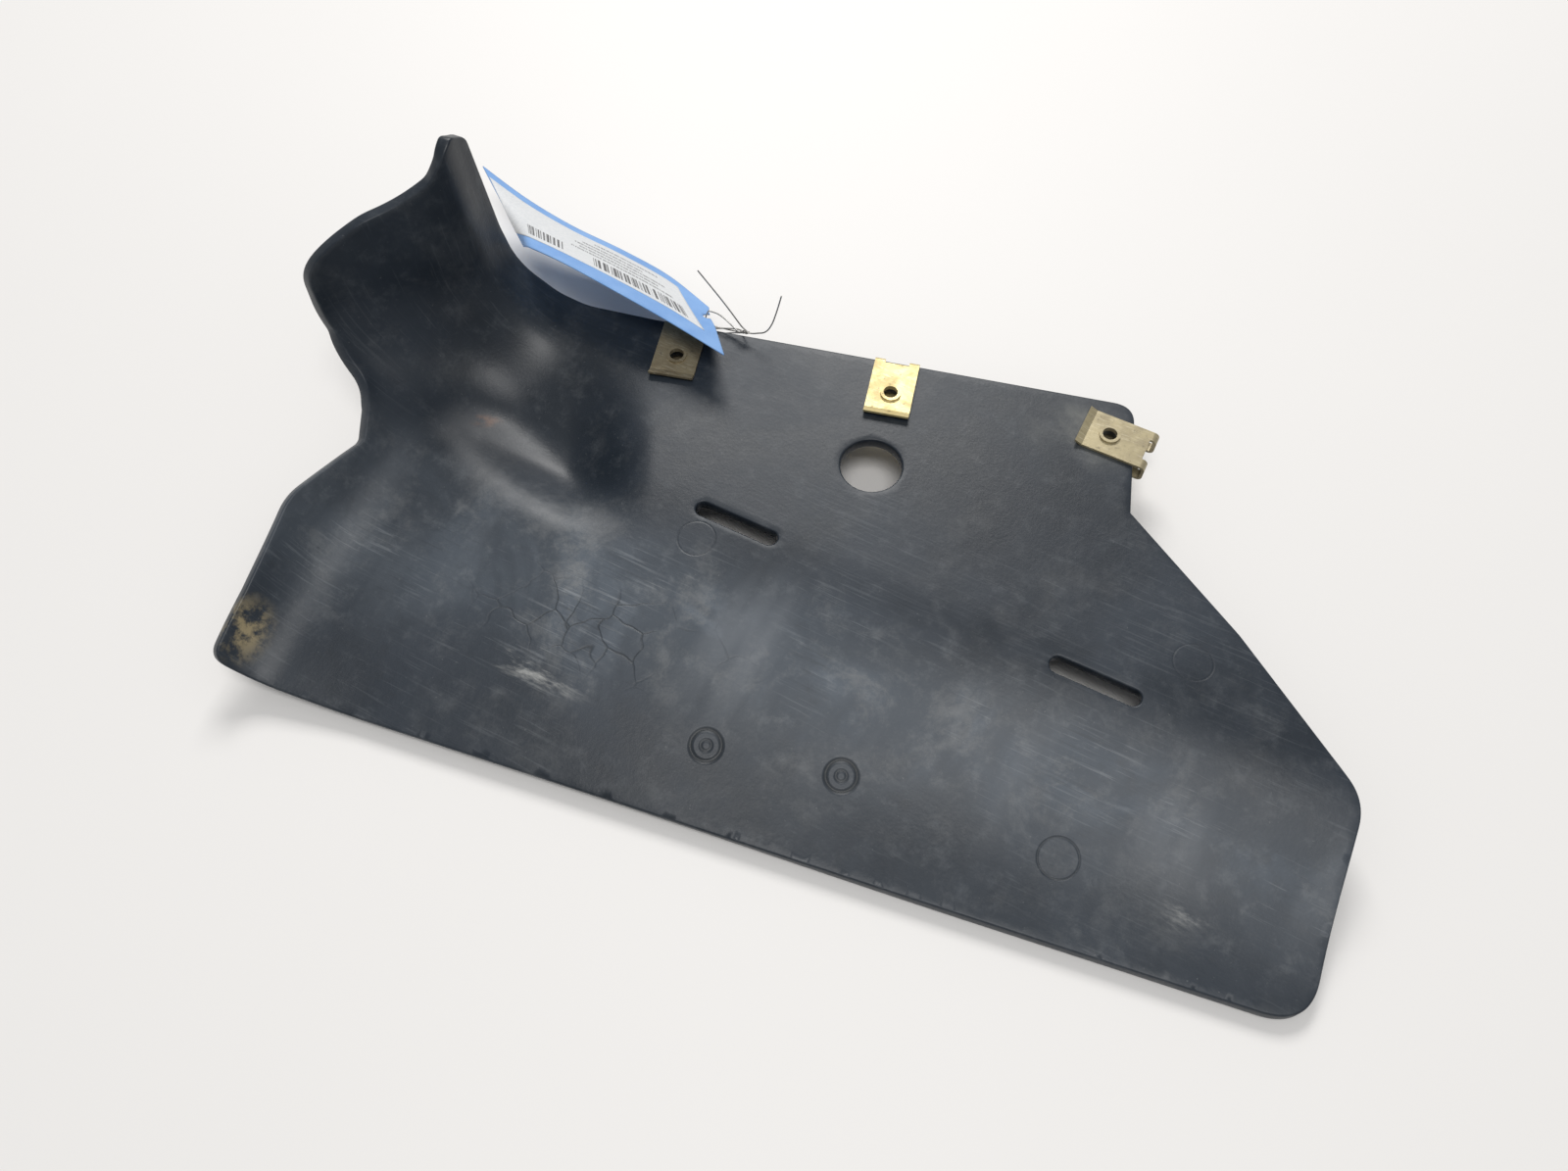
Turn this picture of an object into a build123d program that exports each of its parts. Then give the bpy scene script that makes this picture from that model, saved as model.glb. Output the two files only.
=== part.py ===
from build123d import *
import math
import os

# Moulded mud flap for one side of a vehicle, with three spring-steel U-nuts on
# its back and end edges and a stock tag wired to the left U-nut.
# Millimetres.  +X runs along the two slots, +Z is the axis of the round
# pass-through hole, and the origin is that hole's centre on the top face.

# ---- flap sheet ----------------------------------------------------------
SHEET = 4.5                 # wall thickness
HOLE_R = 10.5               # pass-through hole
SLOT_LENGTH = 30.0          # overall, rounded ends
SLOT_WIDTH = 5.5
SLOT_Y = -41.0
SLOT_X = (-30.0, 96.0)      # slot centres
SCREW_CLEARANCE_R = 4.0     # holes in the flap under each U-nut

# front panel: rolls down from BEND_Y to the straight front edge
BEND_Y = -34.0
DROP = 16.0
FRONT_Y0 = -135.8           # front edge is the line y = FRONT_Y0 + FRONT_SLOPE x
FRONT_SLOPE = 0.152

# left end: the sheet rolls upward.  Stations across the flap (y), each with
# roll start x, horizontal reach, rise, and final angle in degrees.
ROLL = (
    (-175.0, -136.0, 22.0, 22.0, 50.0),
    (-80.0, -136.0, 22.0, 22.0, 50.0),
    (-62.0, -136.0, 30.0, 28.0, 62.0),
    (-47.0, -133.0, 49.0, 36.0, 84.0),
    (-25.0, -120.0, 46.0, 36.0, 86.0),
    (-5.0, -112.0, 38.0, 34.0, 87.0),
    (8.0, -119.0, 31.0, 28.0, 87.0),
    (20.0, -132.0, 18.0, 18.0, 87.0),
    (40.0, -132.0, 18.0, 18.0, 87.0),
)
BOWL_DEPTH = 11.0           # relief pressed in beside the wing

# grid the two skins are drawn through: start, stop, count
GRID_X = (-236.0, 196.0, 48)
GRID_Y = (-168.0, 72.0, 34)

# ---- U-nuts --------------------------------------------------------------
NUT_WIDTH = 15.9
NUT_LENGTH = 25.4
NUT_STEEL = 1.0
NUT_GAP = 5.0               # mouth between the legs, a little over SHEET
NUT_HOLE_R = 2.5
NUT_BURR_R = 3.6
NUT_BURR_HEIGHT = 0.8
NUT_LOWER_HOLE_R = 3.4
NUT_STRAP = 3.6             # width of each of the two straps round the edge
NUT_LIP = 2.6               # bent lead-in at the open end
NUT_HOLE_FROM_FRONT = 9.8
# hole centre x, y and the direction the closed end points, in degrees
NUTS = {
    "clip_left": (-81.3, 10.4, 105.5),
    "clip_middle": (-6.6, 29.7, 104.5),
    "clip_right": (67.8, 47.6, 0.0),
}

# ---- stock tag and its wire ---------------------------------------------
CARD = 0.4
LABEL = 0.15
LABEL_MARGIN = 2.6          # card showing along each long edge
TAG_HOLE_R = 2.0
TAG_HOLE_INSET = 4.4        # from the tied end
TAG_HOLE_ACROSS = 0.72      # near edge 0, far edge 1
WIRE_R = 0.35
# the curled card hangs between its two long edges, left end first
TAG_NEAR = (
    (-157.0, 29.0, 2.0),
    (-146.0, 20.5, 14.0),
    (-128.0, 15.0, 20.5),
    (-107.0, 13.0, 19.5),
    (-84.6, 12.3, 15.5),
    (-61.0, 9.0, 14.0),
)
TAG_FAR = (
    (-197.0, 60.0, -2.0),
    (-176.0, 57.0, -7.0),
    (-154.0, 55.0, -10.0),
    (-132.0, 55.0, -12.5),
    (-110.3, 52.9, -14.0),
    (-83.1, 37.1, -2.0),
)
# where the strands are twisted together, and the two tails that stand up from it
WIRE_KNOT = (-63.5, 29.0, 3.5)
WIRE_TAIL_A = (
    (-66.4, 29.6, 7.0),
    (-71.1, 29.2, 14.0),
    (-81.7, 29.4, 26.0),
)
WIRE_TAIL_B = (
    (-59.6, 29.6, 5.0),
    (-54.4, 30.3, 9.0),
    (-52.0, 31.7, 17.0),
    (-51.1, 33.2, 25.0),
)


# ---- sheet shape ---------------------------------------------------------
def smooth(t):
    t = min(max(t, 0.0), 1.0)
    return t * t * (3.0 - 2.0 * t)


def roll_slope(i, k):
    # harmonic-mean slope at station i keeps the curve free of overshoot
    def chord(j):
        return (ROLL[j + 1][k] - ROLL[j][k]) / (ROLL[j + 1][0] - ROLL[j][0])
    left = chord(max(i - 1, 0))
    right = chord(min(i, len(ROLL) - 2))
    if left * right <= 0.0:
        return 0.0
    return 2.0 * left * right / (left + right)


def roll_value(y, k):
    y = min(max(y, ROLL[0][0]), ROLL[-1][0])
    i = 0
    while i < len(ROLL) - 2 and y > ROLL[i + 1][0]:
        i += 1
    span = ROLL[i + 1][0] - ROLL[i][0]
    t = (y - ROLL[i][0]) / span
    return (
        (2 * t**3 - 3 * t**2 + 1) * ROLL[i][k]
        + (t**3 - 2 * t**2 + t) * span * roll_slope(i, k)
        + (3 * t**2 - 2 * t**3) * ROLL[i + 1][k]
        + (t**3 - t**2) * span * roll_slope(i + 1, k)
    )


def front_y(x):
    return FRONT_Y0 + FRONT_SLOPE * x


def panel_height(x, y):
    # towards the left the drop comes late; towards the right it comes early
    s = min(max((BEND_Y - y) / (BEND_Y - front_y(x)), 0.0), 1.2)
    late = s * s
    early = smooth(1.0 - max(1.0 - s, 0.0) ** 1.3)
    right = smooth((x + 60.0) / 150.0)
    return -DROP * ((1.0 - right) * late + right * early)


def bowl_height(x, y):
    front = 0.994 * (y + 75.0 - 0.11 * (x + 122.0))
    left = ((x + 150.0) * 19.0 + (y + 59.0) * 28.0) / 33.84
    right = -((x + 55.0) * 43.0 + (y + 55.0) * 20.0) / 47.4
    back = 4.0 - y
    return -BOWL_DEPTH * smooth(front / 25) * smooth(left / 26) * smooth(right / 25) * smooth(back / 24)


def sheet_point(u, v):
    """Top face of the sheet; u is measured along the sheet, v is y."""
    start, reach, rise, angle = (roll_value(v, k) for k in (1, 2, 3, 4))
    radius = (reach + rise) / 2.0
    past = max(start - u, 0.0)
    turn = min(past / radius, math.radians(angle))
    rest = past - turn * radius
    x = u
    if past > 0.0:
        x = start - reach * math.sin(turn) - rest * math.cos(turn)
    z = rise * (1.0 - math.cos(turn)) + rest * math.sin(turn)
    lift = 4.0 * smooth((-105.0 - x) / 50.0) * smooth((-110.0 - v) / 50.0)
    return Vector(x, v, z + panel_height(x, v) + bowl_height(x, v) + lift)


def sheet_normal(u, v):
    e = 0.1
    along = sheet_point(u + e, v) - sheet_point(u - e, v)
    across = sheet_point(u, v + e) - sheet_point(u, v - e)
    return along.cross(across).normalized()


def spaced(start, stop, count):
    return [start + (stop - start) * i / (count - 1) for i in range(count)]


def skin(offset):
    rows = []
    for v in spaced(*GRID_Y):
        rows.append([sheet_point(u, v) + sheet_normal(u, v) * offset for u in spaced(*GRID_X)])
    return Face.make_surface_from_array_of_points(rows, tol=0.05, smoothing=(1, 1, 1), max_deg=5)


def closest_edge(face, point):
    return min(face.edges(), key=lambda e: (e.position_at(0.5) - point).length)


def blank():
    """Thick sheet before its outline is cut."""
    top = skin(0.0)
    bottom = skin(-SHEET)
    sides = []
    for edge in top.edges():
        mate = closest_edge(bottom, edge.position_at(0.5))
        sides.append(Face.make_surface_from_curves(edge, mate))
    return Solid(Shell([top, bottom] + sides))


# ---- outlines ------------------------------------------------------------
def rounded_outline(points):
    """Closed face from (x, y, corner radius) points."""
    face = make_face(Polyline([(x, y) for x, y, _ in points], close=True)).face()
    for x, y, radius in points:
        if radius > 0.0:
            corner = min(face.vertices(), key=lambda p: math.hypot(p.X - x, p.Y - y))
            face = face.fillet_2d(radius, [corner])
    return face


# plan of the flap; the wing's footprint is left open on the left
PLAN = (
    (-153.5, -160.0, 8.0),
    (189.0, -107.1, 15.0),
    (181.0, -41.5, 18.0),
    (131.0, -5.5, 0.0),
    (84.9, 22.1, 0.0),
    (71.4, 64.4, 8.0),
    (-109.4, 17.5, 60.0),
    (-215.0, 17.5, 0.0),
    (-215.0, -48.2, 0.0),
    (-173.0, -48.2, 9.0),
    (-154.5, -72.0, 12.0),
    (-159.8, -98.0, 30.0),
)

# wing seen along X: y, z
WING_PROFILE = (
    (-48.2, -60.0, 0.0),
    (-48.2, 58.5, 10.0),
    (-13.0, 55.0, 12.0),
    (-3.0, 74.0, 3.5),
    (8.8, 74.0, 4.5),
    (13.6, 24.0, 20.0),
    (17.5, 2.0, 0.0),
    (17.5, -60.0, 0.0),
)
WING_X = -140.0             # the wing profile trims everything left of this


def wing_trim():
    side_view = Plane((-400, 0, 0), x_dir=(0, 1, 0), z_dir=(1, 0, 0))
    return extrude(side_view * rounded_outline(WING_PROFILE), 400 + WING_X)


def flap_panel():
    keep = wing_trim()
    keep += Pos(WING_X + 200, 0, 0) * Box(400, 400, 300)
    keep += Pos(WING_X - 100, -48.2 - 100, 0) * Box(200, 200, 300)
    keep &= Pos(0, 0, -80) * extrude(rounded_outline(PLAN), 200)
    panel = blank() & keep
    panel -= Pos(0, 0, -10) * Cylinder(HOLE_R, 40)
    for x in SLOT_X:
        panel -= extrude(Pos(x, SLOT_Y, -20) * SlotOverall(SLOT_LENGTH, SLOT_WIDTH), 40)
    for x, y, _ in NUTS.values():
        panel -= Pos(x, y, -2) * Cylinder(SCREW_CLEARANCE_R, 20)
    return panel


# ---- U-nut ---------------------------------------------------------------
def u_nut():
    """Local +X is the closed end, Z = 0 the flap's top face, origin the screw axis."""
    front = -NUT_HOLE_FROM_FRONT
    back = NUT_LENGTH - NUT_HOLE_FROM_FRONT
    root = front + NUT_LIP
    flare = 0.42 * NUT_LIP
    under = (NUT_GAP - SHEET) / 2.0
    over = under - NUT_GAP
    profile = (
        (front, under + flare, 0.0),
        (front, under + flare + NUT_STEEL, 0.0),
        (root, under + NUT_STEEL, 0.0),
        (back, under + NUT_STEEL, 2.0),
        (back, over - NUT_STEEL, 2.0),
        (root, over - NUT_STEEL, 0.0),
        (front, over - flare - NUT_STEEL, 0.0),
        (front, over - flare, 0.0),
        (root, over, 0.0),
        (back - NUT_STEEL, over, 1.0),
        (back - NUT_STEEL, under, 1.0),
        (root, under, 0.0),
    )
    face = Plane.XZ * rounded_outline(profile)
    nut = Pos(0, NUT_WIDTH / 2.0, 0) * extrude(face, NUT_WIDTH)
    window = NUT_WIDTH - 2.0 * NUT_STRAP
    nut -= Pos(back, 0, (under + over) / 2.0) * Box(5.0, window, 12.0)
    top = under + NUT_STEEL
    nut += Pos(0, 0, top + NUT_BURR_HEIGHT / 2.0) * Cylinder(NUT_BURR_R, NUT_BURR_HEIGHT)
    nut -= Pos(0, 0, 2) * Cylinder(NUT_HOLE_R, 8)
    nut -= Pos(0, 0, -6) * Cylinder(NUT_LOWER_HOLE_R, 4)
    return nut


# ---- stock tag -----------------------------------------------------------
def tag_rows(lift, margin=0.0, stations=None):
    """Points across the curled card, offset from its underside and in from its long edges."""
    rows = []
    count = len(TAG_NEAR)
    for i in range(count if stations is None else stations):
        near, far = Vector(*TAG_NEAR[i]), Vector(*TAG_FAR[i])
        a, b = max(i - 1, 0), min(i + 1, count - 1)
        along = Vector(*TAG_NEAR[b]) - Vector(*TAG_NEAR[a])
        along += Vector(*TAG_FAR[b]) - Vector(*TAG_FAR[a])
        up = along.cross(far - near).normalized()
        inset = (far - near).normalized() * margin
        near, far = near + inset, far - inset
        rows.append([near + (far - near) * k + up * lift for k in (0.0, 0.25, 0.5, 0.75, 1.0)])
    return rows


def curled(lift, thickness, margin=0.0, stations=None):
    skins = []
    for height in (lift, lift + thickness):
        rows = tag_rows(height, margin, stations)
        skins.append(Face.make_surface_from_array_of_points(rows, tol=0.005))
    sides = []
    for edge in skins[0].edges():
        mate = closest_edge(skins[1], edge.position_at(0.5))
        sides.append(Face.make_surface_from_curves(edge, mate))
    return Solid(Shell(skins + sides))


def tag_plane(inset, across):
    """Plane on the card, set in from its tied end: X along the card, Z out of its face."""
    near, far = Vector(*TAG_NEAR[-1]), Vector(*TAG_FAR[-1])
    back = (Vector(*TAG_NEAR[-2]) + Vector(*TAG_FAR[-2])) * 0.5
    along = ((near + far) * 0.5 - back).normalized()
    centre = near + (far - near) * across - along * inset
    return Plane(centre, x_dir=along, z_dir=along.cross(far - near))


def tag_card():
    return curled(0.0, CARD) - tag_plane(TAG_HOLE_INSET, TAG_HOLE_ACROSS) * Cylinder(TAG_HOLE_R, 12)


def tag_label():
    return curled(CARD + 0.25, LABEL, LABEL_MARGIN, len(TAG_NEAR) - 1)


# ---- tie wire ------------------------------------------------------------
def wire_run(points):
    """Thin wire in straight eight-sided lengths that run into each other at the bends."""
    stops = [Vector(*p) for p in points]
    run = None
    for start, stop in zip(stops, stops[1:]):
        middle = Plane((start + stop) * 0.5, z_dir=stop - start)
        length = (stop - start).length + WIRE_R
        bar = middle * extrude(RegularPolygon(WIRE_R, 8), length / 2.0, both=True)
        run = bar if run is None else run + bar
    return run


def places(location, points):
    return tuple(tuple((location * Pos(*p)).position) for p in points)


def tag_wire():
    """Tied round one strap of the left U-nut and through the tag, with two free tails."""
    x, y, heading = NUTS["clip_left"]
    nut = Location((x, y, 0), (0, 0, heading))
    middle = NUT_WIDTH / 2.0 - NUT_STRAP / 2.0
    reach = NUT_LENGTH - NUT_HOLE_FROM_FRONT - NUT_STEEL / 2.0
    over = (NUT_GAP - SHEET) / 2.0 + NUT_STEEL + 1.3 * WIRE_R
    under = over - NUT_GAP - 2.0 * NUT_STEEL - 2.6 * WIRE_R
    inside = -middle + NUT_STRAP / 2.0 + 2.0 * WIRE_R
    outside = -middle - NUT_STRAP / 2.0 - 2.0 * WIRE_R
    strap = places(nut, (
        (reach + 0.6, outside - 3.5, 0.9),
        (reach + 0.2, outside, over),
        (reach + 0.2, inside, over),
        (reach + 0.2, inside, under),
        (reach + 0.2, outside, under),
        (reach + 2.4, outside - 3.5, under + 2.0),
    ))
    tie = Location(tag_plane(TAG_HOLE_INSET, TAG_HOLE_ACROSS))
    eye = places(tie, (
        (4.0, 0.5, 2.4),
        (0.4, 0.3, 1.9),
        (0.0, 0.0, -2.2),
        (TAG_HOLE_INSET + 2.2, -0.5, -2.2),
    ))
    wire = wire_run((WIRE_KNOT,) + strap + (WIRE_KNOT,))
    wire += wire_run((WIRE_KNOT,) + eye + (WIRE_KNOT,))
    wire += wire_run((WIRE_KNOT,) + WIRE_TAIL_A)
    wire += wire_run((WIRE_KNOT,) + WIRE_TAIL_B)
    return wire + Pos(*WIRE_KNOT) * Rot(20, 35, 10) * Box(1.6, 1.6, 1.6)


# ---- output --------------------------------------------------------------
def build():
    nodes = {"flap_panel": flap_panel()}
    for name, (x, y, heading) in NUTS.items():
        nodes[name] = Pos(x, y, 0) * Rot(0, 0, heading) * u_nut()
    nodes["tag_card"] = tag_card()
    nodes["tag_label"] = tag_label()
    nodes["tag_wire"] = tag_wire()
    return nodes


os.makedirs("parts", exist_ok=True)
for node, shape in build().items():
    export_step(shape, f"parts/{node}.step")
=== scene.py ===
import bpy
import math
import numpy as np
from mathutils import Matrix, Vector
from mathutils.geometry import delaunay_2d_cdt


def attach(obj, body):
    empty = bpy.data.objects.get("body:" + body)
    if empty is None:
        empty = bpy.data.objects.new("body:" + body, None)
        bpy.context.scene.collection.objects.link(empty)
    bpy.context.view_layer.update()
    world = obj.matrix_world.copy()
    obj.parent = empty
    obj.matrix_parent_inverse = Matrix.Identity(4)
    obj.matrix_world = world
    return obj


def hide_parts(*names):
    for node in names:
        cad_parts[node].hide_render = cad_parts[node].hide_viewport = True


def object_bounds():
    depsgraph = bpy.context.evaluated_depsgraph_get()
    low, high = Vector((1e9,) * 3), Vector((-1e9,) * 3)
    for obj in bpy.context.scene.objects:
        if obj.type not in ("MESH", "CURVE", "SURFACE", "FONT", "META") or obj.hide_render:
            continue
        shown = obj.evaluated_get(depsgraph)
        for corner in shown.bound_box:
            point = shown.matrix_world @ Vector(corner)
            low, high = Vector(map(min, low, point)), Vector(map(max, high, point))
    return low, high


# Mud flap with three U-nuts and a wired stock tag.  Shapes are in millimetres in the
# row frame, and MM turns them to metres.  Spans inside the materials, the lights and
# the camera are in metres.
MM = 0.001
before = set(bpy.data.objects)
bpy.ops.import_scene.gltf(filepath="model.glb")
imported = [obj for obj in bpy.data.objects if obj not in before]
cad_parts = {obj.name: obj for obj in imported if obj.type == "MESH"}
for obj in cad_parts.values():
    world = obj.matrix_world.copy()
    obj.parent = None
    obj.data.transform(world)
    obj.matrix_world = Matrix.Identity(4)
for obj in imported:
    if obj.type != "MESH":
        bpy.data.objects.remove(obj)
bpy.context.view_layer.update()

# ---- sheet shape: the CAD's formula, with a deeper bowl and wider bowl walls ---
SHEET = 4.5
EDGE_ROUND = 0.7
BEND_Y, DROP = -34.0, 16.0
FRONT_Y0, FRONT_SLOPE = -135.8, 0.152
BOWL_DEPTH = 11.5
ROLL = np.array((
    (-175.0, -136.0, 22.0, 22.0, 50.0),
    (-80.0, -136.0, 22.0, 22.0, 50.0),
    (-62.0, -136.0, 30.0, 28.0, 62.0),
    (-47.0, -133.0, 49.0, 36.0, 84.0),
    (-25.0, -120.0, 46.0, 36.0, 86.0),
    (-5.0, -112.0, 38.0, 34.0, 87.0),
    (8.0, -119.0, 31.0, 28.0, 87.0),
    (20.0, -132.0, 18.0, 18.0, 87.0),
    (40.0, -132.0, 18.0, 18.0, 87.0),
))


def smooth(t):
    t = np.clip(t, 0.0, 1.0)
    return t * t * (3.0 - 2.0 * t)


def roll_value(v, k):
    x, y = ROLL[:, 0], ROLL[:, k]
    chord = np.diff(y) / np.diff(x)
    left = np.concatenate([chord[:1], chord])
    right = np.concatenate([chord, chord[-1:]])
    both = left * right
    total = np.where(np.abs(left + right) < 1e-12, 1.0, left + right)
    slope = np.where(both > 0.0, 2.0 * both / total, 0.0)
    v = np.clip(v, x[0], x[-1])
    i = np.clip(np.searchsorted(x, v, side="right") - 1, 0, len(x) - 2)
    h = x[i + 1] - x[i]
    t = (v - x[i]) / h
    return (
        (2 * t**3 - 3 * t**2 + 1) * y[i]
        + (t**3 - 2 * t**2 + t) * h * slope[i]
        + (3 * t**2 - 2 * t**3) * y[i + 1]
        + (t**3 - t**2) * h * slope[i + 1]
    )


def panel_height(x, y):
    s = np.clip((BEND_Y - y) / (BEND_Y - (FRONT_Y0 + FRONT_SLOPE * x)), 0.0, 1.2)
    early = smooth(1.0 - np.clip(1.0 - s, 0.0, None) ** 1.3)
    right = smooth((x + 60.0) / 150.0)
    return -DROP * ((1.0 - right) * s * s + right * early)


def bowl_height(x, y):
    front = 0.994 * (y + 75.0 - 0.11 * (x + 122.0))
    left = ((x + 150.0) * 19.0 + (y + 59.0) * 28.0) / 33.84
    right = -((x + 55.0) * 43.0 + (y + 55.0) * 20.0) / 47.4
    back = 4.0 - y
    walls = smooth(front / 30.0) * smooth(left / 44.0) * smooth(right / 34.0)
    return -BOWL_DEPTH * walls * smooth(back / 44.0)


def surface(u, v):
    start, reach, rise, angle = (roll_value(v, k) for k in (1, 2, 3, 4))
    radius = (reach + rise) / 2.0
    past = np.maximum(start - u, 0.0)
    turn = np.minimum(past / radius, np.radians(angle))
    rest = past - turn * radius
    rolled = start - reach * np.sin(turn) - rest * np.cos(turn)
    x = np.where(past > 0.0, rolled, u)
    z = rise * (1.0 - np.cos(turn)) + rest * np.sin(turn)
    lift = 4.0 * smooth((-105.0 - x) / 50.0) * smooth((-110.0 - v) / 50.0)
    return np.stack([x, v + 0.0 * x, z + panel_height(x, v) + bowl_height(x, v) + lift], -1)


def normal(u, v):
    e = 0.1
    n = np.cross(surface(u + e, v) - surface(u - e, v), surface(u, v + e) - surface(u, v - e))
    return n / np.linalg.norm(n, axis=-1, keepdims=True)


# ---- flap outline, measured along the sheet --------------------------------
# Each corner is (u, v, radius); a radius of 0 leaves it sharp.
OUTLINE = (
    (-157.0, -159.0, 5.0),
    (-160.4, -136.0, 20.0),
    (-166.6, -104.0, 22.0),
    (-157.0, -73.0, 5.0),
    (-166.5, -53.5, 10.0),
    (-184.9, -47.9, 10.0),
    (-211.2, -46.8, 8.0),
    (-212.0, -27.5, 16.0),
    (-206.2, -9.6, 3.0),
    (-212.6, 2.6, 3.5),
    (-209.4, 9.7, 4.0),
    (-170.0, 12.6, 40.0),
    (-141.5, 17.9, 20.0),
    (-122.5, 16.9, 30.0),
    (-96.6, 22.4, 60.0),
    (71.4, 64.4, 8.0),
    (84.9, 22.1, 1.0),
    (131.0, -5.5, 30.0),
    (181.0, -41.5, 18.0),
    (189.0, -107.1, 15.0),
    (-122.0, -154.0, 60.0),
)
HOLE_R = 10.5
SLOT_Y, SLOT_X, SLOT_LENGTH, SLOT_WIDTH = -41.0, (-30.0, 96.0), 30.0, 5.5
NUT_AT = ((-81.3, 10.4), (-6.6, 29.7), (67.8, 47.6))   # left, middle, right
LEFT_NUT_TURN = 105.5       # degrees from +X to the left U-nut's closed end
SCREW_CLEARANCE_R = 4.0


def rounded(corners, step):
    """Evenly spaced points round a polygon with arc corners."""
    pts = []
    count = len(corners)
    for i, (x, y, r) in enumerate(corners):
        p = np.array((x, y))
        a = np.array(corners[i - 1][:2]) - p
        b = np.array(corners[(i + 1) % count][:2]) - p
        la, lb = np.linalg.norm(a), np.linalg.norm(b)
        a, b = a / la, b / lb
        half = 0.5 * math.acos(max(-1.0, min(1.0, float(a @ b))))
        cut = min(r / math.tan(half), 0.48 * la, 0.48 * lb) if r > 0 else 0.0
        if cut < 0.05:
            pts.append(p)
            continue
        steps = max(2, int(cut * 1.6 / step) + 3)
        for t in np.linspace(0.0, 1.0, steps):
            pts.append((1 - t) ** 2 * (p + a * cut) + 2 * t * (1 - t) * p + t**2 * (p + b * cut))
    pts = np.array(pts)
    out = []
    for p, q in zip(pts, np.roll(pts, -1, axis=0)):
        n = max(1, int(round(np.linalg.norm(q - p) / step)))
        out.extend(p + (q - p) * k / n for k in range(n))
    return np.array(out)


def ring(cx, cy, r, count):
    a = np.linspace(0.0, 2.0 * math.pi, count, endpoint=False)
    return np.stack([cx + r * np.cos(a), cy + r * np.sin(a)], -1)


def slot(cx, cy, length, width, count):
    r, half = width / 2.0, (length - width) / 2.0
    a = np.linspace(-math.pi / 2.0, math.pi / 2.0, count)
    right = np.stack([cx + half + r * np.cos(a), cy + r * np.sin(a)], -1)
    left = np.stack([cx - half - r * np.cos(a), cy - r * np.sin(a)], -1)
    flat = np.linspace(0.0, 1.0, 14)[1:-1, None]
    top = right[-1] + (left[0] - right[-1]) * flat
    bottom = left[-1] + (right[0] - left[-1]) * flat
    return np.concatenate([right, top, left, bottom])


def signed_area(p):
    q = np.roll(p, -1, axis=0)
    return 0.5 * float(np.sum(p[:, 0] * q[:, 1] - p[:, 1] * q[:, 0]))


def inset(p, d, inward):
    """Moves a closed curve sideways by d, into the material."""
    t = np.roll(p, -1, axis=0) - np.roll(p, 1, axis=0)
    t /= np.maximum(np.linalg.norm(t, axis=1, keepdims=True), 1e-9)
    n = np.stack([-t[:, 1], t[:, 0]], -1) * (1.0 if signed_area(p) > 0 else -1.0)
    return p + n * d * (1.0 if inward else -1.0)


def make_mesh(name, verts, faces, uv=None):
    mesh = bpy.data.meshes.new(name)
    mesh.from_pydata([tuple(v) for v in verts], [], [tuple(f) for f in faces])
    mesh.validate()
    for poly in mesh.polygons:
        poly.use_smooth = True
    if uv is not None:
        layer = mesh.uv_layers.new(name="UVMap")
        for loop in mesh.loops:
            layer.data[loop.index].uv = uv[loop.vertex_index]
    obj = bpy.data.objects.new(name, mesh)
    bpy.context.scene.collection.objects.link(obj)
    return obj


def grid_points(loops, step):
    outer = loops[0]
    lo, hi = outer.min(0), outer.max(0)
    xs = np.arange(lo[0] + step, hi[0], step)
    ys = np.arange(lo[1] + step, hi[1], step)
    gx, gy = np.meshgrid(xs, ys)
    pts = np.stack([gx.ravel(), gy.ravel()], -1)
    keep = np.ones(len(pts), bool)
    for i, loop in enumerate(loops):
        inside = np.zeros(len(pts), bool)
        near = np.full(len(pts), 1e9)
        q = np.roll(loop, -1, axis=0)
        for (x0, y0), (x1, y1) in zip(loop, q):
            crosses = (y0 > pts[:, 1]) != (y1 > pts[:, 1])
            dy = y1 - y0 if abs(y1 - y0) > 1e-12 else 1e-12
            inside ^= crosses & (pts[:, 0] < (x1 - x0) * (pts[:, 1] - y0) / dy + x0)
            near = np.minimum(near, (pts[:, 0] - x0) ** 2 + (pts[:, 1] - y0) ** 2)
        keep &= inside if i == 0 else ~inside
        keep &= near > (0.6 * step) ** 2
    return pts[keep]


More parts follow.
